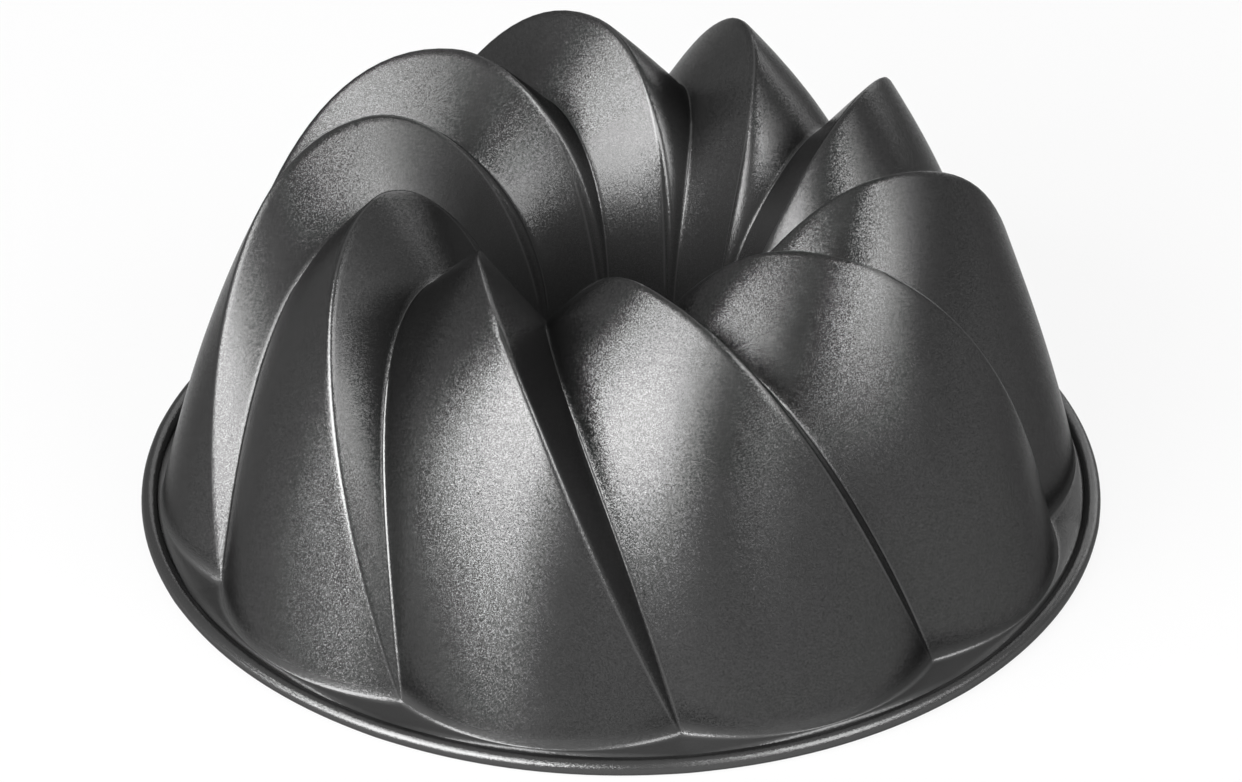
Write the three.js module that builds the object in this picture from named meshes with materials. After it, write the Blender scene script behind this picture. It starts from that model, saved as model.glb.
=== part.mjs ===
// Fluted tube pan, upside down on its rolled rim. Millimetres and degrees, +Z up, Z = 0 where the rim rests.
import * as THREE from "three";

// Sheet, rolled rim and the wire inside it
const sheet = 0.8;
const clearance = 0.3;
const rimRadius = 125;
const curlRadius = 2.2;
const curlDip = 0.4; // how far inside the roll the flange turns down
const flangeHeight = 2.8;
const flangeLeast = 0.4; // flange left outside the fullest part of a flute

// Flutes: every line starts at the foot and swirls clockwise as it climbs
const fluteCount = 10;
const firstValley = -118.5;
const footDepth = 8.2; // how far inside the flange's edge a valley reaches it

// Valley line between two flutes
const valleyTopRadius = 61;
const valleyTopHeight = 83.6;
const valleyTopTurn = -24.5;
const valleyWallLean = 10.6;
const valleyWallTurn = -4.8;
const valleyWallRise = 39.5;
const valleyShoulder = 25.2;
const valleyShoulderTurn = 10.2;
const valleyThroat = 17.3;
const valleyNeckFlare = 1;
const valleyNeckTurn = -1.1;
const valleyNeckRise = 24.2;
const valleyEndTurn = -36.6;

// Ridge line of a flute, which leaves the next valley at the foot and nears its own valley in the throat
const ridgeTopRadius = 66.6;
const ridgeTopHeight = 103.3;
const ridgeTopTurn = -2.2;
const ridgeWallLean = 3.9;
const ridgeWallTurn = -13.1;
const ridgeWallRise = 56.6;
const ridgeShoulder = 27.4;
const ridgeShoulderTurn = 18.2;
const ridgeThroat = 14.2;
const ridgeNeckFlare = 5.2;
const ridgeNeckTurn = 6.5;
const ridgeNeckRise = 44.4;
const ridgeEndTurn = -33.1;

// Swell of a flute's broad face on its way up the wall, over the shoulder and crest, and into the throat
const wallSwell = 3.5;
const shoulderSwell = -5.5;
const crestSwell = 2.5;
const throatSwell = 3.5;

// Round collar under the throat, its beaded lap, and the tube that hangs from it
const collarRadius = 27.5;
const collarTop = 36;
const collarLength = 12;
const lapBeadDepth = 1.2;
const lapBeadHeight = 4;
const tubeTaper = 3;
const tubeEnd = 1.5; // height of the tube's lip above the floor
const lipRadius = 1.2;

// Fineness
const broadSteps = 6;
const narrowSteps = 3;
const wallSteps = 9;
const throatSteps = 8;
const curlSides = 12;
const curlSteps = 9;
const tubeSides = 40;
const lipSteps = 3;
const wireSides = 60;
const wireFacets = 8;

const pitch = 360 / fluteCount;
const curlCentre = rimRadius - curlRadius;
const flangeEdge = rimRadius - 2 * curlRadius - curlDip;
const footRadius = flangeEdge - footDepth;
const wireRadius = curlRadius - sheet - clearance;
const footSwell = footDepth - flangeLeast;
const broadSwell = [footSwell, wallSwell, shoulderSwell, crestSwell, throatSwell, 0];

// A point as radius, turn about Z and height
const polar = (radius, turn, height) => new THREE.Vector3(radius, turn, height);

function toSpace(point) {
  const angle = THREE.MathUtils.degToRad(firstValley + point.y);
  return new THREE.Vector3(point.x * Math.cos(angle), point.x * Math.sin(angle), point.z);
}

// A line over the pan: one cubic curve up the wall and one down the throat, smooth over the top
function arch(foot, wall, shoulder, top, throat, neck, end) {
  const rise = new THREE.CubicBezierCurve3(foot, wall, shoulder, top);
  const fall = new THREE.CubicBezierCurve3(top, throat, neck, end);
  return (t) => (t < 0.5 ? rise.getPoint(2 * t) : fall.getPoint(2 * t - 1));
}

const valleyLine = arch(
  polar(footRadius, 0, flangeHeight),
  polar(footRadius - valleyWallLean, valleyWallTurn, flangeHeight + valleyWallRise),
  polar(valleyTopRadius + valleyShoulder, valleyTopTurn + valleyShoulderTurn, valleyTopHeight),
  polar(valleyTopRadius, valleyTopTurn, valleyTopHeight),
  polar(
    valleyTopRadius - valleyThroat,
    valleyTopTurn - (valleyShoulderTurn * valleyThroat) / valleyShoulder,
    valleyTopHeight,
  ),
  polar(collarRadius + valleyNeckFlare, valleyEndTurn + valleyNeckTurn, collarTop + valleyNeckRise),
  polar(collarRadius, valleyEndTurn, collarTop),
);

const ridgeLine = arch(
  polar(footRadius, pitch, flangeHeight),
  polar(footRadius - ridgeWallLean, pitch + ridgeWallTurn, flangeHeight + ridgeWallRise),
  polar(ridgeTopRadius + ridgeShoulder, ridgeTopTurn + ridgeShoulderTurn, ridgeTopHeight),
  polar(ridgeTopRadius, ridgeTopTurn, ridgeTopHeight),
  polar(
    ridgeTopRadius - ridgeThroat,
    ridgeTopTurn - (ridgeShoulderTurn * ridgeThroat) / ridgeShoulder,
    ridgeTopHeight,
  ),
  polar(collarRadius + ridgeNeckFlare, ridgeEndTurn + ridgeNeckTurn, collarTop + ridgeNeckRise),
  polar(collarRadius, ridgeEndTurn, collarTop),
);

// Smooth blend from the first value to the last, by repeated averaging
function blend(values, t) {
  let row = values;
  while (row.length > 1) {
    row = row.slice(1).map((value, i) => row[i] + (value - row[i]) * t);
  }
  return row[0];
}

// Direction, in radius and height, that stands off the sheet midway between ridge and valley
function outward(t) {
  const reach = 0.001;
  const before = valleyLine(Math.max(0, t - reach)).add(ridgeLine(Math.max(0, t - reach)));
  const after = valleyLine(Math.min(1, t + reach)).add(ridgeLine(Math.min(1, t + reach)));
  const along = after.sub(before);
  return new THREE.Vector2(along.z, -along.x).normalize();
}

// One flute at the same stage t of its valley, ridge and next valley
function fluteColumns(t) {
  const valley = valleyLine(t);
  const ridge = ridgeLine(t);
  const nextValley = valley.clone();
  nextValley.y += pitch;
  const off = outward(t);
  const columns = [];
  for (let i = 0; i < broadSteps; i++) {
    const s = i / broadSteps;
    const swell = blend(broadSwell, t) * 4 * s * (1 - s);
    const point = valley.clone().lerp(ridge, s);
    columns.push(polar(point.x + swell * off.x, point.y, point.z + swell * off.y));
  }
  for (let i = 0; i < narrowSteps; i++) {
    columns.push(ridge.clone().lerp(nextValley, i / narrowSteps));
  }
  return columns;
}

// A full turn of flutes from the columns of one
function fluteRing(columns) {
  const ring = [];
  for (let k = 0; k < fluteCount; k++) {
    ring.push(...columns.map((p) => toSpace(polar(p.x, p.y + k * pitch, p.z))));
  }
  return ring;
}

// A plain ring at the turns that a flute's columns have at stage t
function plainRing(t, radius, height) {
  return fluteRing(fluteColumns(t).map((p) => polar(radius, p.y, height)));
}

// Points of an arc in radius and height, corners outside the arc so that its flats touch it
function arcCorners(centre, radius, from, step, count) {
  const corner = radius / Math.cos(THREE.MathUtils.degToRad(step / 2));
  const points = [];
  for (let i = 0; i <= count; i++) {
    const angle = THREE.MathUtils.degToRad(from + i * step);
    const x = centre.x + corner * Math.cos(angle);
    points.push(new THREE.Vector2(x, centre.y + corner * Math.sin(angle)));
  }
  return points;
}

// Moves a profile sideways, to its right as it runs, by the same gap everywhere
function besideProfile(profile, gap) {
  return profile.map((point, i) => {
    const before = profile[Math.max(0, i - 1)];
    const after = profile[Math.min(profile.length - 1, i + 1)];
    const legs = [point.clone().sub(before), after.clone().sub(point)].filter((leg) => leg.length() > 0);
    const sides = legs.map((leg) => new THREE.Vector2(leg.y, -leg.x).normalize());
    const sum = sides.reduce((total, side) => total.add(side), new THREE.Vector2());
    return point.clone().add(sum.multiplyScalar((gap * sides.length) / sum.lengthSq()));
  });
}

// Turns rings of points on the face that shows into a closed sheet, thickened away from that face
function sheetFrom(rings) {
  const points = [];
  const known = new Map();
  const indexOf = (point) => {
    const key = point.toArray().map((v) => Math.round(v * 1e4)).join();
    if (!known.has(key)) known.set(key, points.push(point) - 1);
    return known.get(key);
  };
  const grid = rings.map((ring) => ring.map(indexOf));
  const count = grid[0].length;
  const quads = [];
  for (let i = 0; i + 1 < grid.length; i++) {
    for (let j = 0; j < count; j++) {
      const k = (j + 1) % count;
      quads.push([grid[i][j], grid[i][k], grid[i + 1][k], grid[i + 1][j]]);
    }
  }

  const facing = points.map(() => new THREE.Vector3());
  const shared = points.map(() => 0);
  for (const [a, b, c, d] of quads) {
    const across = points[c].clone().sub(points[a]);
    const normal = across.cross(points[d].clone().sub(points[b]));
    if (normal.length() === 0) continue;
    normal.normalize();
    for (const corner of new Set([a, b, c, d])) {
      facing[corner].add(normal);
      shared[corner] += 1;
    }
  }
  const far = points.length;
  const backs = points.map((point, i) => {
    const depth = (sheet * shared[i]) / facing[i].lengthSq();
    return point.clone().addScaledVector(facing[i], -depth);
  });

  const faces = [];
  const addFace = (a, b, c) => {
    if (a !== b && b !== c && c !== a) faces.push(a, b, c);
  };
  const addBoth = (a, b, c) => {
    addFace(a, b, c);
    addFace(a + far, c + far, b + far);
  };
  for (const [a, b, c, d] of quads) {
    if (points[a].distanceTo(points[c]) <= points[b].distanceTo(points[d])) {
      addBoth(a, b, c);
      addBoth(a, c, d);
    } else {
      addBoth(a, b, d);
      addBoth(b, c, d);
    }
  }
  const first = grid[0];
  const last = grid[grid.length - 1];
  for (let j = 0; j < count; j++) {
    const k = (j + 1) % count;
    addFace(first[k], first[j], first[j] + far);
    addFace(first[k], first[j] + far, first[k] + far);
    addFace(last[j], last[k], last[k] + far);
    addFace(last[j], last[k] + far, last[j] + far);
  }

  const geometry = new THREE.BufferGeometry().setFromPoints([...points, ...backs]);
  geometry.setIndex(faces);
  geometry.computeVertexNormals();
  return geometry;
}

// Collar wall from the end of the flutes down, with the bead that locks the lap
const collarEnd = collarTop - collarLength;
const beadMiddle = (collarTop + collarEnd) / 2;
const lapProfile = [
  new THREE.Vector2(collarRadius, collarTop),
  new THREE.Vector2(collarRadius, beadMiddle + lapBeadHeight / 2),
  new THREE.Vector2(collarRadius + lapBeadDepth, beadMiddle + lapBeadHeight / 4),
  new THREE.Vector2(collarRadius + lapBeadDepth, beadMiddle - lapBeadHeight / 4),
  new THREE.Vector2(collarRadius, beadMiddle - lapBeadHeight / 2),
  new THREE.Vector2(collarRadius, collarEnd),
];

// The pressed sheet, from the cut edge of the rolled rim to the end of the collar
function flutedShell() {
  const step = 360 / curlSides;
  const centre = new THREE.Vector2(curlCentre, curlRadius);
  const start = 180 + step / 2 + curlSteps * step;
  const curl = arcCorners(centre, curlRadius - sheet, start, -step, curlSteps);
  const rings = curl.map((p) => plainRing(0, p.x, p.y));
  rings.push(plainRing(0, flangeEdge, flangeHeight));
  for (let i = 0; i < wallSteps; i++) {
    rings.push(fluteRing(fluteColumns((0.5 * i) / wallSteps)));
  }
  for (let i = 0; i <= throatSteps; i++) {
    rings.push(fluteRing(fluteColumns(0.5 + (0.5 * i) / throatSteps)));
  }
  rings.push(...lapProfile.slice(1).map((p) => plainRing(1, p.x, p.y)));
  return sheetFrom(rings);
}

// The plain tube: its lap nests in the collar, and its lip turns in above the floor
function centreTube() {
  const lap = besideProfile(lapProfile, clearance + sheet);
  const lapRadius = lap[0].x;
  lap[0].y -= sheet;
  const mouthRadius = lapRadius - tubeTaper;
  const lipCentre = new THREE.Vector2(mouthRadius - lipRadius, tubeEnd + sheet + lipRadius);
  const lip = [];
  for (let i = 0; i <= lipSteps; i++) {
    const angle = (-Math.PI / 2) * (i / lipSteps);
    const x = lipCentre.x + lipRadius * Math.cos(angle);
    lip.push(new THREE.Vector2(x, lipCentre.y + lipRadius * Math.sin(angle)));
  }
  const rings = [...lap, ...lip].map((p) => {
    const ring = [];
    for (let j = 0; j < tubeSides; j++) {
      ring.push(toSpace(polar(p.x, (360 * j) / tubeSides, p.y)));
    }
    return ring;
  });
  return sheetFrom(rings);
}

// The hoop of wire that the rim is rolled around
function rimWire() {
  const hoop = new THREE.TorusGeometry(curlCentre, wireRadius, wireFacets, wireSides);
  hoop.translate(0, 0, curlRadius);
  return hoop;
}

const coating = { color: 0x3a3b3d, roughness: 0.42, metalness: 0.75 };
const wireSteel = { color: 0x6f7072, roughness: 0.45, metalness: 1 };

const pan = new THREE.Group();
pan.name = "fluted_tube_pan";

function addPiece(name, geometry, finish) {
  const mesh = new THREE.Mesh(geometry, new THREE.MeshStandardMaterial(finish));
  mesh.name = name;
  pan.add(mesh);
}

addPiece("fluted_shell", flutedShell(), coating);
addPiece("centre_tube", centreTube(), coating);
addPiece("rim_wire", rimWire(), wireSteel);

export default pan;
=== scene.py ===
"""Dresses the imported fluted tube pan.

Builds the smooth pressed shell, the centre tube, the rim wire, their finishes and a studio stage.
"""

import math
from collections import namedtuple

import bpy
from bpy.props import (
    FloatProperty,
    FloatVectorProperty,
    IntProperty,
    PointerProperty,
)
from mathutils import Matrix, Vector


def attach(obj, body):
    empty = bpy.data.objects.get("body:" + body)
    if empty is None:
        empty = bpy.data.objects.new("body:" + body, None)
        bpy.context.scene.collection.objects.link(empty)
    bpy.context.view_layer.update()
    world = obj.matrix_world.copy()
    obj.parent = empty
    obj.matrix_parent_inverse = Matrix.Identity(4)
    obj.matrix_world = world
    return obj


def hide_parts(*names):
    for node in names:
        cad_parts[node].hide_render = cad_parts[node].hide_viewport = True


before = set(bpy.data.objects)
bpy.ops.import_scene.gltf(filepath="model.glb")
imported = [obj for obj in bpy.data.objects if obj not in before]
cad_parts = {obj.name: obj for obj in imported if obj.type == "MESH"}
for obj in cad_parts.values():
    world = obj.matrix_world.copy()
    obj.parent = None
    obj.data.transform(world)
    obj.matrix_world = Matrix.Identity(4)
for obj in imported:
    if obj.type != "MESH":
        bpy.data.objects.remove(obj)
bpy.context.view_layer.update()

bl_info = {
    "name": "Fluted Tube Pan",
    "version": (1, 0, 0),
    "blender": (4, 5, 0),
    "location": "3D View > Sidebar > Tube Pan",
    "description": "Builds a swirl-fluted, coated tube pan and its studio around the packed solids",
    "category": "Add Mesh",
}

MILLIMETRE = 0.001

# Points of a valley line or a ridge line, and places of the broad face's swells, from the rim to the collar
LINE_POINTS = ("Foot", "Wall", "Shoulder", "Top", "Throat", "Neck", "End")
TOP_POINT = LINE_POINTS.index("Top")
SWELL_PLACES = ("Foot", "Wall", "Shoulder", "Crest", "Throat", "End")

# Columns of the flat blank across one flute: 0 is a valley, 1 its ridge, 2 the next valley
BROAD_COLUMNS = 9
NARROW_COLUMNS = 4
PAST_RIDGE = 0.99999

# Column where the rounding of a face's edge ends, and the largest share of a face that a rounding takes
ROUND_COLUMN = 0.125
LARGEST_ROUND = 0.3

# Rows of the flat blank along a flute: roll from -2, flange from -1, flute from 0, collar from 1
ROLL_ROWS = (-2.0, -1.1)
ROLL_STEPS = 13
FLANGE_ROWS = (-1.0, -0.6, -0.22, 0.0)
FOOT_ROWS = (0.006, 0.018)
CREST_ROW = 0.5
WALL_STEPS = 13
THROAT_STEPS = 12
COLLAR_ROWS = (1.12, 1.28, 1.36, 1.44, 1.56, 1.64, 1.72, 1.88, 2.0)

# Share of the collar bead's half height that stands out in full
BEAD_FLAT = 0.3

# Rows down the turned tube
LAP_ROWS = 24
TAPER_ROWS = 8
LIP_ROWS = 8

# Width in metres that keeps a division off zero, and the gap within which points are welded
LEAST_WIDTH = 1e-6
WELD_DISTANCE = 1e-5

# Edges of the sheet that turn more sharply than this stay crisp
CRISP_EDGE = math.radians(50)

# Attributes by which the shell tells its coat where the creases and the narrow faces are
CREASE = "crease"
RECESS = "recess"

# The coat is matt on the flange, down the throat and, a little, on the narrow faces; a paler coat is
# painted there and on the rim roll as light, lifting their shade and brightening the roll's highlight
LOW_BAND_HEIGHTS = (0.004, 0.009)
MATT_ROLL_RADII = (0.1210, 0.1224)
THROAT_BAND_RADII = (0.036, 0.056)
# Share of the paler coat painted as light down the throat
THROAT_PAINTED_LIFT = 0.5
RECESS_MATT_AND_LIFT = 0.25
# Crease marks over which a paler coat comes in along the ridges and valleys, as a painted highlight
CREASE_HIGHLIGHT_SPAN = (0.65, 1.0)
OPEN_METAL = 0.9
MATT_METAL = 0.62
GRAZING_TINT = (0.46, 0.46, 0.46, 1.0)
FLAKE_MIDDLE = (0.5, 0.5, 0.5)
CLOUD_SCALE = 60.0
CLOUD_DETAIL = 3.0
CLOUD_ROUGHNESS = 0.03

# Marks of the drawing die on the wire
MARK_SCALE = 900.0
MARK_DETAIL = 2.0
MARK_SHADE = 0.8
MARK_ROUGHNESS = (0.3, 0.45)
MARK_DEPTH = 0.00001
MARK_STRENGTH = 0.6

# Values between which most of a noise texture lies
NOISE_SPAN = (0.3, 0.7)

# Lamps by turn from the camera's side and rise off the floor in degrees, width and height in metres
Lamp = namedtuple("Lamp", "name shape turn rise width height brightness")
LAMPS = (
    Lamp("key_softbox", "ELLIPSE", -42, 17, 1.87, 1.52, 8.2),
    Lamp("key_low_edge", "RECTANGLE", -70, 4, 0.78, 0.86, 7.0),
    Lamp("key_right_edge", "RECTANGLE", -17, 21, 0.54, 0.70, 6.4),
    Lamp("key_top_strip", "RECTANGLE", -44, 43, 1.60, 0.46, 7.8),
    Lamp("left_softbox", "RECTANGLE", -74, 35, 0.54, 0.74, 7.4),
    Lamp("front_fill", "ELLIPSE", 25, 16, 0.62, 0.70, 1.7),
    Lamp("side_softbox", "RECTANGLE", 48, 34, 1.10, 1.42, 6.0),
    Lamp("side_far_edge", "RECTANGLE", 80, 38, 0.78, 0.94, 1.6),
    Lamp("back_low_box", "RECTANGLE", 142, 16, 1.18, 0.78, 2.6),
    Lamp("rear_softbox", "RECTANGLE", 172, 31, 1.51, 0.94, 1.2),
)
LAMP_DISTANCE = 2.2
WATTS_PER_AREA = 4.0

# The world's light on the pan, and how light the world and the floor look to the camera and in metal
WORLD_LEVEL = 0.06
WORLD_SEEN = 0.6
FLOOR_GLOW = 0.88
WHITE = (1.0, 1.0, 1.0, 1.0)

# Width of the camera's frame in millimetres
SENSOR_WIDTH = 36.0


def length(label, note, value):
    """A length property, given in millimetres."""
    metres = value * MILLIMETRE
    return FloatProperty(
        name=label, description=note, default=metres, subtype="DISTANCE", unit="LENGTH", precision=5
    )


def angle(label, note, value):
    """An angle property, given in degrees."""
    return FloatProperty(
        name=label, description=note, default=math.radians(value), subtype="ANGLE", unit="ROTATION"
    )


def share(label, note, value):
    """A property from none to all."""
    return FloatProperty(name=label, description=note, default=value, min=0.0, max=1.0, subtype="FACTOR")


def colour(label, note, value):
    """A colour property."""
    return FloatVectorProperty(
        name=label, description=note, default=value, size=3, min=0.0, max=1.0, subtype="COLOR"
    )


def sides(label, note, value):
    """How many flat sides stand for a round."""
    return IntProperty(name=label, description=note, default=value, min=3)


def line_point(label, radius, turn, height):
    """A point of a valley line or a ridge line, given in millimetres and degrees."""
    note = "Radius, turn about the axis and height of this point of the line"
    place = (radius * MILLIMETRE, math.radians(turn), height * MILLIMETRE)
    return FloatVectorProperty(name=label, description=note, default=place, size=3, precision=5)


class PanRim(bpy.types.PropertyGroup):
    """Sheet, edge of the flange and rolled rim"""

    sheet: length("Sheet", "Thickness of the pressed sheet", 0.8)
    rim_radius: length("Rim Radius", "Outside of the rolled rim", 125)
    roll_radius: length("Roll Radius", "Outside radius of the roll's section", 2.2)
    flange_edge: length("Flange Edge", "Radius where the flange turns down into the roll", 120.2)
    roll_start: angle("Roll Start", "Where the cut edge of the roll lies in its section", 528)
    roll_stop: angle("Roll Stop", "Where the flange runs into the roll", 195)


class PanFlutes(bpy.types.PropertyGroup):
    """Swirling flutes, each drawn between a valley line and a ridge line"""

    count: IntProperty(name="Flutes", description="Number of flutes round the pan", default=10, min=3)
    first_valley: angle("First Valley", "Turn of the first valley's foot", -118.5)
    valley_foot: line_point("Valley Foot", 112, 0, 2.8)
    valley_wall: line_point("Valley Wall", 101.4, -4.8, 42.3)
    valley_shoulder: line_point("Valley Shoulder", 86.2, -14.3, 83.6)
    valley_top: line_point("Valley Top", 61, -24.5, 83.6)
    valley_throat: line_point("Valley Throat", 43.7, -31.5, 83.6)
    valley_neck: line_point("Valley Neck", 28.5, -37.7, 60.2)
    valley_end: line_point("Valley End", 27.5, -36.6, 36)
    ridge_foot: line_point("Ridge Foot", 112, 36, 2.8)
    ridge_wall: line_point("Ridge Wall", 108.1, 22.9, 59.4)
    ridge_shoulder: line_point("Ridge Shoulder", 94, 16, 103.3)
    ridge_top: line_point("Ridge Top", 66.6, -2.2, 103.3)
    ridge_throat: line_point("Ridge Throat", 52.4, -11.63, 103.3)
    ridge_neck: line_point("Ridge Neck", 32.7, -26.6, 80.4)
    ridge_end: line_point("Ridge End", 27.5, -33.1, 36)
    foot_swell: length("Foot Swell", "Fullness of the broad face at the flange", 8.1)
    wall_swell: length("Wall Swell", "Fullness of the broad face up the wall", 3.5)
    shoulder_swell: length("Shoulder Swell", "Fullness of the broad face at the shoulder", -5.5)
    crest_swell: length("Crest Swell", "Fullness of the broad face past the crest", 2.5)
    throat_swell: length("Throat Swell", "Fullness of the broad face in the throat", 3.5)
    end_swell: length("End Swell", "Fullness of the broad face at the collar", 0)
    ridge_round: length("Ridge Round", "How far the rounding of a ridge reaches into its faces", 2.2)
    valley_round: length("Valley Round", "How far the rounding of a valley reaches into its faces", 1.5)


class PanCollar(bpy.types.PropertyGroup):
    """Collar under the throat, with the bead of its lap"""

    collar_length: length("Collar Length", "Height of the collar's lap", 12)
    bead_depth: length("Bead Depth", "How far the lap's bead stands out", 1.2)
    bead_height: length("Bead Height", "Height of the lap's bead", 4)


class PanTube(bpy.types.PropertyGroup):
    """Tapered tube that hangs from the collar"""

    lap_gap: length("Lap Gap", "Room between the collar and the tube in it", 0.3)
    tube_taper: length("Tube Taper", "How much narrower the tube's mouth is", 3)
    tube_end: length("Tube End", "Height of the tube's lip above the floor", 1.5)
    lip_radius: length("Lip Radius", "Radius of the lip that turns in", 1.2)
    tube_sides: sides("Tube Sides", "Sides of the tube's round", 96)


class PanWire(bpy.types.PropertyGroup):
    """Wire hoop inside the roll"""

    wire_gap: length("Wire Gap", "Room between the wire and the roll", 0.3)
    hoop_sides: sides("Hoop Sides", "Sides of the hoop's round", 240)
    wire_sides: sides("Wire Sides", "Sides of the wire's section", 14)


class PanFinish(bpy.types.PropertyGroup):
    """Coating of the sheet and steel of the wire"""

    coat_colour: colour("Coat Colour", "Dark body of the non-stick coating", (0.026, 0.026, 0.026))
    # Colour of the random flecks, and of the paler coat painted as light on the low band, throat and narrow
    # faces
    fleck_and_lift_colour: colour("Coat Fleck", "Paler flecks in the coating", (0.078, 0.078, 0.078))
    # Paler coat along the ridges and valleys, as a painted highlight
    crease_highlight_colour: colour("Coat Crease Highlight", "Painted highlight along ridges and valleys", (0.09, 0.09, 0.09))
    coat_roughness: share("Coat Roughness", "Roughness of the satin coating", 0.22)
    flake_size: length("Flake Size", "Width of one metallic flake of the coating", 0.15)
    flake_tilt: share("Flake Tilt", "How far a flake leans off the surface", 0.105)
    wire_colour: colour("Wire Colour", "Bare steel of the rim wire", (0.42, 0.42, 0.43))


class PanStage(bpy.types.PropertyGroup):
    """Floor and camera"""

    floor_size: length("Floor Size", "Width of the floor", 9000)
    floor_colour: colour("Floor Colour", "Pale floor", (0.6, 0.6, 0.6))
    target_height: length("Target Height", "Height that the camera looks at", 29.58)
    camera_distance: length("Camera Distance", "From the camera to its target", 1246.15)
    camera_rise: angle("Camera Rise", "Angle of the camera above the floor", 33.22)
    camera_lens: FloatProperty(
        name="Camera Lens", description="Focal length of the camera", default=139.88, unit="CAMERA"
    )


def property_names(group):
    """Names of a group's properties, in the order that they are written."""
    return list(type(group).__annotations__)


def node(tree, kind, inputs=None, **settings):
    """Adds a node, sets its options, and links or sets its inputs by name or place."""
    made = tree.nodes.new(kind)
    for key, value in settings.items():
        setattr(made, key, value)
    for key, value in (inputs or {}).items():
        if isinstance(value, bpy.types.NodeSocket):
            tree.links.new(value, made.inputs[key])
        else:
            made.inputs[key].default_value = value
    return made


class SumBench:
    """Arithmetic in a node tree, one call per node."""

    def __init__(self, tree):
        self.tree = tree

    def number(self, operation, *terms, clamp=False):
        inputs = dict(enumerate(terms))
        return node(self.tree, "ShaderNodeMath", inputs, operation=operation, use_clamp=clamp).outputs[0]

    def most(self, first, *others):
        """The greatest of some numbers."""
        for other in others:
            first = self.number("MAXIMUM", first, other)
        return first

    def vector(self, operation, *terms):
        inputs = dict(enumerate(terms))
        return node(self.tree, "ShaderNodeVectorMath", inputs, operation=operation).outputs[0]

    def scaled(self, vector, factor):
        inputs = {"Vector": vector, "Scale": factor}
        return node(self.tree, "ShaderNodeVectorMath", inputs, operation="SCALE").outputs[0]

    def gap(self, a, b):
        return node(self.tree, "ShaderNodeVectorMath", {0: a, 1: b}, operation="DISTANCE").outputs["Value"]

    # A mix node keeps the inputs of its kinds of data in a row, under the same names, so they go by place
    def mix(self, a, b, part):
        inputs = {0: part, 2: a, 3: b}
        return node(self.tree, "ShaderNodeMix", inputs, data_type="FLOAT").outputs[0]

    def mix_vector(self, a, b, part):
        inputs = {0: part, 4: a, 5: b}
        return node(self.tree, "ShaderNodeMix", inputs, data_type="VECTOR").outputs[1]

    def mix_colour(self, a, b, part):
        inputs = {0: part, 6: a, 7: b}
        return node(self.tree, "ShaderNodeMix", inputs, data_type="RGBA").outputs[2]

    def ramp(self, value, low, high, bottom, top, smooth=False):
        kind = "SMOOTHSTEP" if smooth else "LINEAR"
        inputs = {"Value": value, 1: low, 2: high, 3: bottom, 4: top}
        return node(self.tree, "ShaderNodeMapRange", inputs, interpolation_type=kind).outputs[0]

    def parts(self, vector):
        return node(self.tree, "ShaderNodeSeparateXYZ", {0: vector}).outputs

    def joined(self, x, y, z):
        return node(self.tree, "ShaderNodeCombineXYZ", {0: x, 1: y, 2: z}).outputs[0]

    def blend(self, values, part, mixer):
        """Smooth blend from the first value to the last by repeated mixing, and its slope's two ends."""
        row = list(values)
        while len(row) > 2:
            row = [mixer(a, b, part) for a, b in zip(row, row[1:])]
        return mixer(row[0], row[1], part), row

    def rolled(self, place):
        """A place given as radius, turn and height, put round the axis."""
        radius, turn, height = self.parts(place)
        across = self.number("MULTIPLY", radius, self.number("COSINE", turn))
        along = self.number("MULTIPLY", radius, self.number("SINE", turn))
        return self.joined(across, along, height)


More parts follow.
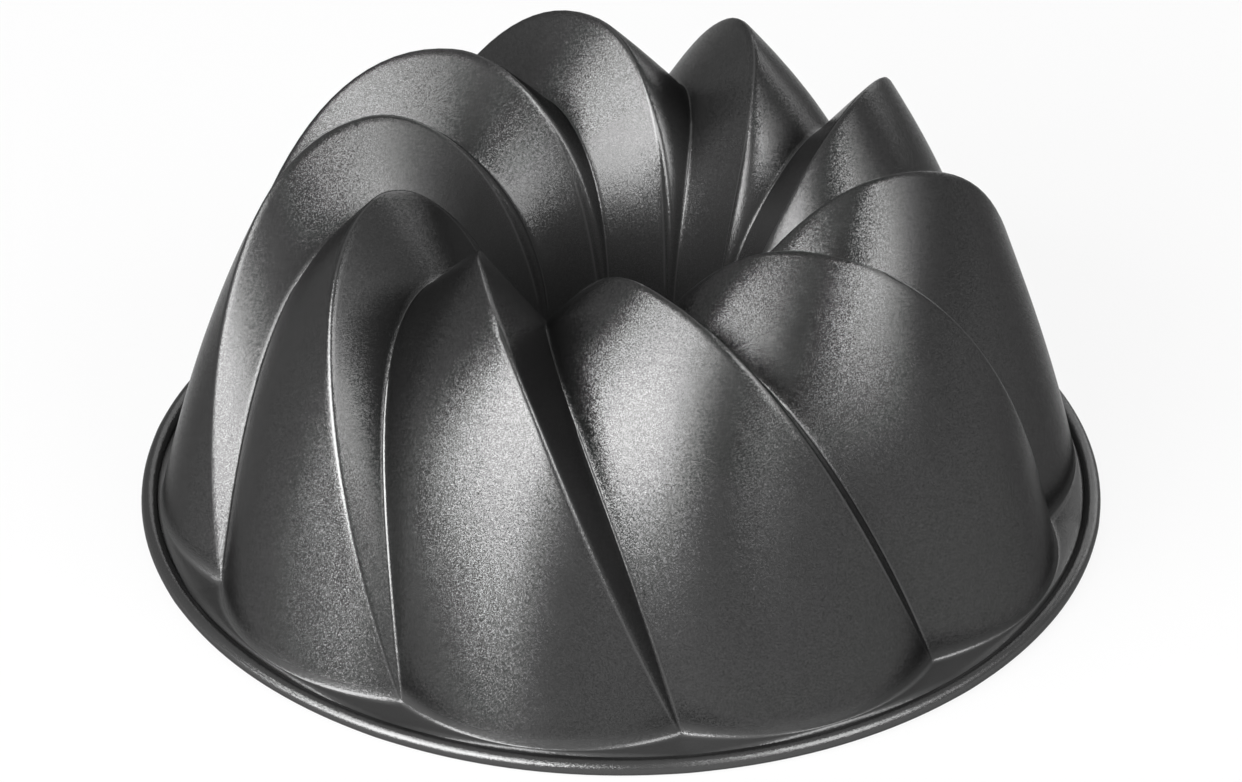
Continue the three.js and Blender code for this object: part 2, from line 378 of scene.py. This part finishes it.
class FluteBench(SumBench):
    """The sums that bend a flat blank into one flute, with its piece of the rim and the collar."""

    def __init__(self, tree, size):
        super().__init__(tree)
        self.size = size
        place = node(tree, "GeometryNodeInputPosition").outputs[0]
        self.across, self.along, _ = self.parts(place)
        self.stage = self.number("ADD", self.along, 0.0, clamp=True)
        self.narrow = self.number("GREATER_THAN", self.across, PAST_RIDGE)
        self.local = self.number("SUBTRACT", self.across, self.narrow)
        self.pitch = self.number("DIVIDE", math.tau, size["Flutes"])

    def line(self, kind):
        """Place and slope on a valley line or a ridge line, up the wall and then down the throat."""
        corners = [self.size[f"{kind} {point}"] for point in LINE_POINTS]
        past_top = self.number("GREATER_THAN", self.stage, CREST_ROW)
        rise = self.number("DIVIDE", self.stage, CREST_ROW, clamp=True)
        past_crest = self.number("SUBTRACT", self.stage, CREST_ROW)
        fall = self.number("DIVIDE", past_crest, 1 - CREST_ROW, clamp=True)
        up, up_ends = self.blend(corners[:TOP_POINT + 1], rise, self.mix_vector)
        down, down_ends = self.blend(corners[TOP_POINT:], fall, self.mix_vector)
        up_slope = self.vector("SUBTRACT", up_ends[1], up_ends[0])
        down_slope = self.vector("SUBTRACT", down_ends[1], down_ends[0])
        return self.mix_vector(up, down, past_top), self.mix_vector(up_slope, down_slope, past_top)

    def face_edges(self, valley, ridge):
        """The lines beside a face: valley and ridge of a broad one, ridge and next valley of a narrow."""
        next_valley = self.vector("ADD", valley, self.joined(0.0, self.pitch, 0.0))
        start = self.mix_vector(valley, ridge, self.narrow)
        stop = self.mix_vector(ridge, next_valley, self.narrow)
        return start, stop

    def face_part(self, start, stop):
        """Share of the way over a face, where the outermost columns keep the width of the roundings."""
        width = self.number("ADD", self.gap(self.rolled(start), self.rolled(stop)), LEAST_WIDTH)
        start_round = self.mix(self.size["Valley Round"], self.size["Ridge Round"], self.narrow)
        stop_round = self.mix(self.size["Ridge Round"], self.size["Valley Round"], self.narrow)
        start_part = self.number("MINIMUM", self.number("DIVIDE", start_round, width), LARGEST_ROUND)
        stop_part = self.number("MINIMUM", self.number("DIVIDE", stop_round, width), LARGEST_ROUND)
        middle_part = self.number("SUBTRACT", self.number("SUBTRACT", 1.0, start_part), stop_part)
        first = self.ramp(self.local, 0.0, ROUND_COLUMN, 0.0, start_part)
        middle = self.ramp(self.local, ROUND_COLUMN, 1 - ROUND_COLUMN, 0.0, middle_part)
        last = self.ramp(self.local, 1 - ROUND_COLUMN, 1.0, 0.0, stop_part)
        return self.number("ADD", first, self.number("ADD", middle, last))

    def swollen(self, start, stop, slope):
        """Radius, turn and height on a face. A broad face swells off the straight way over it."""
        part = self.face_part(start, stop)
        swells = [self.size[f"{name} Swell"] for name in SWELL_PLACES]
        fullness, _ = self.blend(swells, self.stage, self.mix)
        # Nothing at the edges of a face and 1 in its middle
        bow = self.number("MULTIPLY", part, self.number("SUBTRACT", 1.0, part))
        bow = self.number("MULTIPLY", bow, 4.0)
        broad = self.number("SUBTRACT", 1.0, self.narrow)
        swell = self.number("MULTIPLY", self.number("MULTIPLY", fullness, bow), broad)
        slope_radius, _, slope_height = self.parts(slope)
        off = self.joined(slope_height, 0.0, self.number("MULTIPLY", slope_radius, -1.0))
        off = self.vector("NORMALIZE", off)
        flat = self.mix_vector(start, stop, part)
        return self.parts(self.vector("ADD", flat, self.scaled(off, swell)))

    def with_rim(self, flute_radius, flute_height):
        """Radius and height with the flange from its edge to the foot, and the roll beyond it."""
        size, number = self.size, self.number
        on_flange = number("ADD", self.along, 1.0, clamp=True)
        edge_radius = self.mix(size["Flange Edge"], flute_radius, on_flange)
        in_roll = number("LESS_THAN", self.along, (ROLL_ROWS[1] + FLANGE_ROWS[0]) / 2)
        # Subdivision draws a ring of few points inwards, so the ring starts wider by that much
        step = number("DIVIDE", number("SUBTRACT", size["Roll Start"], size["Roll Stop"]), ROLL_STEPS)
        shrink = number("DIVIDE", number("ADD", number("COSINE", step), 2.0), 3.0)
        inner = number("DIVIDE", number("SUBTRACT", size["Roll Radius"], size["Sheet"]), shrink)
        turn = self.ramp(self.along, *ROLL_ROWS, size["Roll Start"], size["Roll Stop"])
        middle = number("SUBTRACT", size["Rim Radius"], size["Roll Radius"])
        roll_radius = number("MULTIPLY_ADD", inner, number("COSINE", turn), middle)
        roll_height = number("MULTIPLY_ADD", inner, number("SINE", turn), size["Roll Radius"])
        return self.mix(edge_radius, roll_radius, in_roll), self.mix(flute_height, roll_height, in_roll)

    def with_collar(self, radius, height):
        """Radius and height with the collar below the throat and the bead of its lap."""
        size, number = self.size, self.number
        down_collar = number("SUBTRACT", self.along, 1.0, clamp=True)
        drop = number("MULTIPLY", down_collar, size["Collar Length"])
        bead_middle = number("MULTIPLY", size["Collar Length"], 0.5)
        from_bead = number("ABSOLUTE", number("SUBTRACT", drop, bead_middle))
        half_bead = number("MULTIPLY", size["Bead Height"], 0.5)
        full_bead = number("MULTIPLY", half_bead, BEAD_FLAT)
        bead = self.ramp(from_bead, full_bead, half_bead, size["Bead Depth"], 0.0, True)
        bead = number("MULTIPLY", bead, number("GREATER_THAN", self.along, 1.0))
        return number("ADD", radius, bead), number("SUBTRACT", height, drop)

    def noted(self, geometry, name, value):
        """Geometry with a number kept at each of its points."""
        inputs = {"Geometry": geometry, "Name": name, "Value": value}
        kind = "GeometryNodeStoreNamedAttribute"
        return node(self.tree, kind, inputs, data_type="FLOAT", domain="POINT").outputs[0]

    def marked(self, geometry):
        """The blank, with its creases and its narrow faces noted for the coat."""
        number = self.number
        to_crease = number("MINIMUM", self.local, number("SUBTRACT", 1.0, self.local))
        crease = number("SUBTRACT", 1.0, number("DIVIDE", to_crease, ROUND_COLUMN), clamp=True)
        past_foot = number("GREATER_THAN", self.along, 0.0)
        on_flute = number("MULTIPLY", past_foot, number("LESS_THAN", self.along, 1.0))
        recess = number("MULTIPLY", number("SUBTRACT", 1.0, crease), self.narrow)
        creased = self.noted(geometry, CREASE, number("MULTIPLY", crease, on_flute))
        return self.noted(creased, RECESS, number("MULTIPLY", recess, on_flute))

    def bent(self):
        """Where each point of the blank lies on the pan."""
        valley, valley_slope = self.line("Valley")
        ridge, ridge_slope = self.line("Ridge")
        start, stop = self.face_edges(valley, ridge)
        radius, turn, height = self.swollen(start, stop, self.vector("ADD", valley_slope, ridge_slope))
        radius, height = self.with_rim(radius, height)
        radius, height = self.with_collar(radius, height)
        return self.rolled(self.joined(radius, self.number("ADD", turn, self.size["First Valley"]), height))

    def ring(self, flute):
        """Copies of a flute round the axis."""
        spots = node(self.tree, "GeometryNodePoints", {"Count": self.size["Flutes"]}).outputs[0]
        index = node(self.tree, "GeometryNodeInputIndex").outputs[0]
        spin = self.joined(0.0, 0.0, self.number("MULTIPLY", index, self.pitch))
        turned = node(self.tree, "FunctionNodeEulerToRotation", {0: spin}).outputs[0]
        copies = {"Points": spots, "Instance": flute, "Rotation": turned}
        return node(self.tree, "GeometryNodeInstanceOnPoints", copies).outputs[0]


def new_tree(name):
    """An empty tree that takes and gives geometry."""
    tree = bpy.data.node_groups.new(name, "GeometryNodeTree")
    tree.interface.new_socket("Geometry", in_out="INPUT", socket_type="NodeSocketGeometry")
    tree.interface.new_socket("Geometry", in_out="OUTPUT", socket_type="NodeSocketGeometry")
    return tree


def add_input(tree, name, kind):
    """Adds a named input to a tree and returns its identifier."""
    return tree.interface.new_socket(name, in_out="INPUT", socket_type=kind).identifier


def add_inputs(tree, group):
    """Adds a named input for each property of a group, and returns the values to give them."""
    kinds = {"FLOAT": "NodeSocketFloat", "INT": "NodeSocketInt"}
    values = {}
    for name in property_names(group):
        prop = group.bl_rna.properties[name]
        value = getattr(group, name)
        if getattr(prop, "is_array", False):
            values[add_input(tree, prop.name, "NodeSocketVector")] = tuple(value)
        else:
            values[add_input(tree, prop.name, kinds[prop.type])] = value
    return values


def end_tree(tree, geometry, finish):
    """Ends a tree in plain geometry with its finish."""
    real = node(tree, "GeometryNodeRealizeInstances", {"Geometry": geometry}).outputs[0]
    finished = node(tree, "GeometryNodeSetMaterial", {"Geometry": real, "Material": finish}).outputs[0]
    node(tree, "NodeGroupOutput", {0: finished})


def flute_tree(pan):
    """Bends a flat blank into one flute with its rim and collar, and repeats it round the pan."""
    tree = new_tree("flutes_round_the_pan")
    values = {}
    for group in (pan.rim, pan.flutes, pan.collar):
        values.update(add_inputs(tree, group))
    values[add_input(tree, "Finish", "NodeSocketMaterial")] = coat_material(pan.finish)
    size = node(tree, "NodeGroupInput").outputs
    bench = FluteBench(tree, size)
    shape = {"Geometry": bench.marked(size["Geometry"]), "Position": bench.bent()}
    flute = node(tree, "GeometryNodeSetPosition", shape).outputs[0]
    real = node(tree, "GeometryNodeRealizeInstances", {"Geometry": bench.ring(flute)}).outputs[0]
    weld = {"Geometry": real, "Distance": WELD_DISTANCE}
    welded = node(tree, "GeometryNodeMergeByDistance", weld).outputs[0]
    fine = node(tree, "GeometryNodeSubdivisionSurface", {"Mesh": welded, "Level": 1}).outputs[0]
    smooth = node(tree, "GeometryNodeSetShadeSmooth", {"Geometry": fine}).outputs[0]
    end_tree(tree, smooth, size["Finish"])
    return tree, values


def wire_tree(pan):
    """Sweeps the wire's round section along the hoop inside the roll."""
    tree = new_tree("wire_round_the_rim")
    rim = pan.rim
    values = {
        add_input(tree, "Hoop Radius", "NodeSocketFloat"): rim.rim_radius - rim.roll_radius,
        add_input(tree, "Wire Radius", "NodeSocketFloat"): rim.roll_radius - rim.sheet - pan.wire.wire_gap,
        add_input(tree, "Hoop Height", "NodeSocketFloat"): rim.roll_radius,
        add_input(tree, "Hoop Sides", "NodeSocketInt"): pan.wire.hoop_sides,
        add_input(tree, "Wire Sides", "NodeSocketInt"): pan.wire.wire_sides,
        add_input(tree, "Finish", "NodeSocketMaterial"): wire_material(pan.finish),
    }
    size = node(tree, "NodeGroupInput").outputs
    circle = "GeometryNodeCurvePrimitiveCircle"
    hoop = {"Resolution": size["Hoop Sides"], "Radius": size["Hoop Radius"]}
    section = {"Resolution": size["Wire Sides"], "Radius": size["Wire Radius"]}
    path = node(tree, circle, hoop).outputs[0]
    profile = node(tree, circle, section).outputs[0]
    swept = node(tree, "GeometryNodeCurveToMesh", {"Curve": path, "Profile Curve": profile}).outputs[0]
    lift = SumBench(tree).joined(0.0, 0.0, size["Hoop Height"])
    lifted = node(tree, "GeometryNodeSetPosition", {"Geometry": swept, "Offset": lift}).outputs[0]
    smooth = node(tree, "GeometryNodeSetShadeSmooth", {"Geometry": lifted}).outputs[0]
    end_tree(tree, smooth, size["Finish"])
    return tree, values


def face_columns(start, count):
    """Columns over one face, without its far edge, with the outermost ones kept for the roundings."""
    middle = 1 - 2 * ROUND_COLUMN
    inner = [start + ROUND_COLUMN + middle * i / (count + 1) for i in range(count + 2)]
    return [start] + inner


def flute_blank():
    """Flat net of points for one flute: close rows where the sheet turns, wide rows where it runs on."""
    columns = face_columns(0.0, BROAD_COLUMNS) + face_columns(1.0, NARROW_COLUMNS) + [2.0]
    cut_edge, roll_end = ROLL_ROWS
    rows = [cut_edge + (roll_end - cut_edge) * i / ROLL_STEPS for i in range(ROLL_STEPS + 1)]
    rows += FLANGE_ROWS
    rows += FOOT_ROWS
    rows += [CREST_ROW * i / WALL_STEPS for i in range(1, WALL_STEPS)]
    rows += [CREST_ROW + (1 - CREST_ROW) * i / THROAT_STEPS for i in range(THROAT_STEPS + 1)]
    rows += COLLAR_ROWS
    points = [(across, along, 0.0) for along in rows for across in columns]
    wide = len(columns)
    faces = []
    for j in range(len(rows) - 1):
        for i in range(wide - 1):
            corner = j * wide + i
            faces.append((corner, corner + 1, corner + 1 + wide, corner + wide))
    blank = bpy.data.meshes.new("flute_blank")
    blank.from_pydata(points, [], faces)
    return blank


def tube_profile(pan):
    """Radius and height of points down the tube's inside: beaded lap, taper and lip that turns in."""
    tube, collar, sheet = pan.tube, pan.collar, pan.rim.sheet
    collar_radius, _, collar_top = pan.flutes.valley_end
    lap_radius = collar_radius - tube.lap_gap - sheet
    lap_top = collar_top - sheet
    lap_end = collar_top - collar.collar_length
    bead_middle = (collar_top + lap_end) / 2
    mouth_radius = lap_radius - tube.tube_taper
    lip_middle = mouth_radius - tube.lip_radius
    lip_height = tube.tube_end + sheet + tube.lip_radius
    profile = []
    for i in range(LAP_ROWS + 1):
        height = lap_top + (lap_end - lap_top) * i / LAP_ROWS
        off = min(1.0, abs(height - bead_middle) / (collar.bead_height / 2))
        bump = 0.5 + 0.5 * math.cos(math.pi * off)
        profile.append((lap_radius + collar.bead_depth * bump, height))
    for i in range(1, TAPER_ROWS):
        part = i / TAPER_ROWS
        height = lap_end + (lip_height - lap_end) * part
        profile.append((lap_radius + (mouth_radius - lap_radius) * part, height))
    for i in range(LIP_ROWS + 1):
        turn = -math.pi / 2 * i / LIP_ROWS
        height = lip_height + tube.lip_radius * math.sin(turn)
        profile.append((lip_middle + tube.lip_radius * math.cos(turn), height))
    return profile


def turned_face(profile, around, name):
    """Smooth face made by turning a profile round the axis."""
    points = []
    for radius, height in profile:
        for k in range(around):
            turn = math.tau * k / around
            points.append((radius * math.cos(turn), radius * math.sin(turn), height))
    faces = []
    for j in range(len(profile) - 1):
        upper, lower = j * around, (j + 1) * around
        for k in range(around):
            after = (k + 1) % around
            faces.append((upper + k, upper + after, lower + after, lower + k))
    mesh = bpy.data.meshes.new(name)
    mesh.from_pydata(points, [], faces)
    for polygon in mesh.polygons:
        polygon.use_smooth = True
    return mesh


def placed(data, name):
    """A new object in the scene."""
    thing = bpy.data.objects.new(name, data)
    bpy.context.scene.collection.objects.link(thing)
    return thing


def made_plain(thing, name):
    """The finished mesh of an object with modifiers, as a new object without any."""
    seen = thing.evaluated_get(bpy.context.evaluated_depsgraph_get())
    mesh = bpy.data.meshes.new_from_object(seen)
    mesh.name = name
    old = thing.data
    bpy.data.objects.remove(thing)
    bpy.data.meshes.remove(old)
    return placed(mesh, name)


def grown_by_nodes(mesh, name, tree, values):
    """Runs a node tree on a mesh and returns the plain result."""
    thing = placed(mesh, name + "_start")
    modifier = thing.modifiers.new("grow", "NODES")
    modifier.node_group = tree
    for identifier, value in values.items():
        modifier[identifier] = value
    bpy.context.view_layer.update()
    return made_plain(thing, name)


def given_sheet(thing, name, thickness):
    """Thickens a face into sheet metal, away from the side that shows."""
    modifier = thing.modifiers.new("sheet", "SOLIDIFY")
    modifier.thickness = thickness
    modifier.offset = -1.0
    modifier.use_even_offset = True
    modifier.use_quality_normals = True
    bpy.context.view_layer.update()
    made = made_plain(thing, name)
    made.data.set_sharp_from_angle(angle=CRISP_EDGE)
    return made


def must_be_closed(thing):
    """Stops the script if a piece has an open edge or faces inwards."""
    used = {}
    for polygon in thing.data.polygons:
        for edge in polygon.edge_keys:
            used[edge] = used.get(edge, 0) + 1
    loose = sum(1 for count in used.values() if count != 2)
    thing.data.calc_loop_triangles()
    points = thing.data.vertices
    volume = 0.0
    for triangle in thing.data.loop_triangles:
        a, b, c = (points[i].co for i in triangle.vertices)
        volume += a.dot(b.cross(c)) / 6
    if loose or volume <= 0:
        raise RuntimeError(f"{thing.name} isn't a closed piece that faces out: {loose} open edges")


def new_material(name):
    """A material without nodes, and a bench for its sums."""
    made = bpy.data.materials.new(name)
    made.use_nodes = True
    made.node_tree.nodes.clear()
    return made, SumBench(made.node_tree)


def end_material(tree, shader):
    """Ends a material in one surface shader."""
    surface = node(tree, "ShaderNodeBsdfPrincipled", shader).outputs[0]
    node(tree, "ShaderNodeOutputMaterial", {"Surface": surface})


def opaque(tone):
    """A colour for a socket that also takes an opacity."""
    return (*tone, 1.0)


def noise(tree, where, scale, detail):
    """A noise texture's value."""
    inputs = {"Vector": where, "Scale": scale, "Detail": detail}
    return node(tree, "ShaderNodeTexNoise", inputs).outputs[0]


def coat_zones(bench, where):
    """How matt the coat is at a place, and how much paler coat is painted there as light."""
    height = bench.parts(where)[2]
    radius = bench.gap(where, bench.joined(0.0, 0.0, height))
    low = bench.ramp(height, *LOW_BAND_HEIGHTS, 1.0, 0.0, True)
    off_roll = bench.ramp(radius, *MATT_ROLL_RADII, 1.0, 0.0)
    deep = bench.ramp(radius, *THROAT_BAND_RADII, 1.0, 0.0, True)
    recess = node(bench.tree, "ShaderNodeAttribute", attribute_name=RECESS).outputs["Fac"]
    recess = bench.number("MULTIPLY", recess, RECESS_MATT_AND_LIFT)
    matt = bench.most(bench.number("MULTIPLY", low, off_roll), deep, recess)
    # Painted light: a paler coat that lifts the shade of the flange, throat and narrow faces and brightens
    # the rim roll's highlight
    painted_lift = bench.most(low, bench.number("MULTIPLY", deep, THROAT_PAINTED_LIFT), recess)
    return matt, painted_lift


def coat_material(finish):
    """Dark satin non-stick coating with a fine metallic grain, a painted highlight along the creases and a
    paler coat painted as light on the low band, throat and narrow faces.
    """
    name = "dark_nonstick_coat"
    if name in bpy.data.materials:
        return bpy.data.materials[name]
    made, bench = new_material(name)
    tree = bench.tree
    where = node(tree, "ShaderNodeTexCoord").outputs["Object"]
    flakes = {"Vector": where, "Scale": 1 / finish.flake_size}
    flake = node(tree, "ShaderNodeTexVoronoi", flakes).outputs["Color"]
    matt, painted_lift = coat_zones(bench, where)

    # Random flecks, and the painted light on the low band, throat and narrow faces, make the coat paler
    pale = bench.most(bench.parts(flake)[0], painted_lift)
    body = bench.mix_colour(opaque(finish.coat_colour), opaque(finish.fleck_and_lift_colour), pale)
    crease = node(tree, "ShaderNodeAttribute", attribute_name=CREASE).outputs["Fac"]
    # Painted highlight: a paler coat along the ridges and valleys
    painted_crease_highlight = bench.ramp(crease, *CREASE_HIGHLIGHT_SPAN, 0.0, 1.0, True)
    body = bench.mix_colour(body, opaque(finish.crease_highlight_colour), painted_crease_highlight)

    cloud = noise(tree, where, CLOUD_SCALE, CLOUD_DETAIL)
    smoothest, roughest = finish.coat_roughness - CLOUD_ROUGHNESS, finish.coat_roughness + CLOUD_ROUGHNESS
    tilt = bench.scaled(bench.vector("SUBTRACT", flake, FLAKE_MIDDLE), 2 * finish.flake_tilt)
    facing = node(tree, "ShaderNodeNewGeometry").outputs["Normal"]
    shader = {
        "Base Color": body,
        "Metallic": bench.ramp(matt, 0.0, 1.0, OPEN_METAL, MATT_METAL),
        "Roughness": bench.ramp(cloud, *NOISE_SPAN, smoothest, roughest),
        "Specular IOR Level": 0.0,
        "Specular Tint": GRAZING_TINT,
        "Normal": bench.vector("NORMALIZE", bench.vector("ADD", facing, tilt)),
    }
    end_material(tree, shader)
    return made


def wire_material(finish):
    """Drawn steel wire with fine marks on it."""
    made, bench = new_material("drawn_rim_wire")
    tree = bench.tree
    where = node(tree, "ShaderNodeTexCoord").outputs["Object"]
    marks = noise(tree, where, MARK_SCALE, MARK_DETAIL)
    pale = tuple(finish.wire_colour)
    shaded = tuple(MARK_SHADE * part for part in pale)
    relief = {"Height": marks, "Distance": MARK_DEPTH, "Strength": MARK_STRENGTH}
    shader = {
        "Base Color": bench.mix_colour(opaque(shaded), opaque(pale), marks),
        "Metallic": 1.0,
        "Roughness": bench.ramp(marks, *NOISE_SPAN, *MARK_ROUGHNESS),
        "Normal": node(tree, "ShaderNodeBump", relief).outputs[0],
    }
    end_material(tree, shader)
    return made


def background_rays(bench):
    """1 for the rays that show the background: to the camera, off metal and through glass."""
    light = node(bench.tree, "ShaderNodeLightPath").outputs
    return bench.most(light["Is Camera Ray"], light["Is Glossy Ray"], light["Is Transmission Ray"])


def floor_material(stage):
    """Pale floor that looks white and still takes the pan's shadow."""
    made, bench = new_material("pale_studio_floor")
    tree = bench.tree
    lit = bench.number("MULTIPLY", background_rays(bench), FLOOR_GLOW)
    paint = node(tree, "ShaderNodeBsdfDiffuse", {"Color": opaque(stage.floor_colour)}).outputs[0]
    white = node(tree, "ShaderNodeEmission", {"Color": WHITE, "Strength": 1.0}).outputs[0]
    surface = node(tree, "ShaderNodeMixShader", {0: lit, 1: paint, 2: white}).outputs[0]
    node(tree, "ShaderNodeOutputMaterial", {"Surface": surface})
    return made


def studio_floor(stage):
    """Flat floor that the pan stands on."""
    half = stage.floor_size / 2
    corners = [(-half, -half, 0), (half, -half, 0), (half, half, 0), (-half, half, 0)]
    mesh = bpy.data.meshes.new("studio_floor")
    mesh.from_pydata(corners, [], [(0, 1, 2, 3)])
    mesh.materials.append(floor_material(stage))
    return placed(mesh, "studio_floor")


def way_to(turn, rise):
    """Direction from the pan, turned from the camera's side and raised off the floor."""
    return Vector((math.sin(turn) * math.cos(rise), -math.cos(turn) * math.cos(rise), math.sin(rise)))


def studio_lamps(target):
    """Soft lamps round the pan, all facing it."""
    for lamp in LAMPS:
        light = bpy.data.lights.new(lamp.name, "AREA")
        light.shape = lamp.shape
        light.size = lamp.width
        light.size_y = lamp.height
        light.energy = WATTS_PER_AREA * lamp.width * lamp.height * lamp.brightness
        way = way_to(math.radians(lamp.turn), math.radians(lamp.rise))
        thing = placed(light, lamp.name)
        thing.location = target + way * LAMP_DISTANCE
        thing.rotation_euler = way.to_track_quat("Z", "Y").to_euler()


def studio_air():
    """World that lights the pan faintly and shows as pale air."""
    world = bpy.data.worlds.new("studio_air")
    world.use_nodes = True
    tree = world.node_tree
    tree.nodes.clear()
    bench = SumBench(tree)
    level = bench.mix(WORLD_LEVEL, WORLD_SEEN, background_rays(bench))
    air = node(tree, "ShaderNodeBackground", {"Color": WHITE, "Strength": level}).outputs[0]
    node(tree, "ShaderNodeOutputWorld", {0: air})
    return world


def photo_camera(stage, target):
    """Camera at the photograph's viewing angle."""
    lens = bpy.data.cameras.new("photo_camera")
    lens.lens = stage.camera_lens
    lens.sensor_width = SENSOR_WIDTH
    lens.sensor_fit = "HORIZONTAL"
    camera = placed(lens, "photo_camera")
    camera.location = target + way_to(0.0, stage.camera_rise) * stage.camera_distance
    camera.rotation_euler = (math.pi / 2 - stage.camera_rise, 0, 0)
    return camera


class TUBEPAN_OT_stage(bpy.types.Operator):
    """Set the floor, the lamps and the camera"""

    bl_idname = "tube_pan.stage"
    bl_label = "Studio Stage"

    def execute(self, context):
        scene = context.scene
        stage = scene.tube_pan.stage
        target = Vector((0, 0, stage.target_height))
        studio_floor(stage)
        studio_lamps(target)
        scene.world = studio_air()
        scene.camera = photo_camera(stage, target)
        scene.view_settings.view_transform = "Standard"
        return {"FINISHED"}


class TUBEPAN_OT_shell(bpy.types.Operator):
    """Build the pressed shell with its flutes, flange and rolled rim"""

    bl_idname = "tube_pan.shell"
    bl_label = "Pressed Shell"

    def execute(self, context):
        pan = context.scene.tube_pan
        face = grown_by_nodes(flute_blank(), "pressed_face", *flute_tree(pan))
        shell = given_sheet(face, "pressed_shell", pan.rim.sheet)
        must_be_closed(shell)
        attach(shell, "root")
        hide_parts("fluted_shell")
        return {"FINISHED"}


class TUBEPAN_OT_tube(bpy.types.Operator):
    """Build the plain tapered tube that hangs from the collar"""

    bl_idname = "tube_pan.tube"
    bl_label = "Centre Tube"

    def execute(self, context):
        pan = context.scene.tube_pan
        mesh = turned_face(tube_profile(pan), pan.tube.tube_sides, "tube_face")
        mesh.materials.append(coat_material(pan.finish))
        tube = given_sheet(placed(mesh, "tube_face"), "tapered_tube", pan.rim.sheet)
        must_be_closed(tube)
        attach(tube, "root")
        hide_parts("centre_tube")
        return {"FINISHED"}


class TUBEPAN_OT_wire(bpy.types.Operator):
    """Build the wire hoop that the rim is rolled around"""

    bl_idname = "tube_pan.wire"
    bl_label = "Rim Wire"

    def execute(self, context):
        pan = context.scene.tube_pan
        wire = grown_by_nodes(bpy.data.meshes.new("wire_start"), "rim_hoop", *wire_tree(pan))
        must_be_closed(wire)
        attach(wire, "root")
        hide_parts("rim_wire")
        return {"FINISHED"}


class TubePan(bpy.types.PropertyGroup):
    """All sizes and colours of the pan and its stage"""

    rim: PointerProperty(type=PanRim, name="Rim", description="Sheet, edge of the flange and rolled rim")
    flutes: PointerProperty(type=PanFlutes, name="Flutes", description="Swirling flutes")
    collar: PointerProperty(type=PanCollar, name="Collar", description="Collar and its bead")
    tube: PointerProperty(type=PanTube, name="Tube", description="Tapered tube")
    wire: PointerProperty(type=PanWire, name="Wire", description="Wire in the roll")
    finish: PointerProperty(type=PanFinish, name="Finish", description="Coating and wire steel")
    stage: PointerProperty(type=PanStage, name="Stage", description="Floor and camera")


class VIEW3D_PT_tube_pan(bpy.types.Panel):
    """Lists the pan's builders and its sizes"""

    bl_label = "Fluted Tube Pan"
    bl_space_type = "VIEW_3D"
    bl_region_type = "UI"
    bl_category = "Tube Pan"

    def draw(self, context):
        layout = self.layout
        for operator in OPERATORS:
            layout.operator(operator.bl_idname)
        pan = context.scene.tube_pan
        for title in property_names(pan):
            group = getattr(pan, title)
            box = layout.box()
            box.label(text=title.capitalize())
            for name in property_names(group):
                box.prop(group, name)


GROUPS = (PanRim, PanFlutes, PanCollar, PanTube, PanWire, PanFinish, PanStage, TubePan)
OPERATORS = (TUBEPAN_OT_stage, TUBEPAN_OT_shell, TUBEPAN_OT_tube, TUBEPAN_OT_wire)
CLASSES = (*GROUPS, *OPERATORS, VIEW3D_PT_tube_pan)


def register():
    for item in CLASSES:
        bpy.utils.register_class(item)
    bpy.types.Scene.tube_pan = PointerProperty(type=TubePan, name="Tube Pan", description="Fluted tube pan")


def unregister():
    del bpy.types.Scene.tube_pan
    for item in reversed(CLASSES):
        bpy.utils.unregister_class(item)


def main():
    register()
    bpy.ops.tube_pan.stage()
    bpy.ops.tube_pan.shell()
    bpy.ops.tube_pan.tube()
    bpy.ops.tube_pan.wire()


if __name__ == "__main__":
    main()
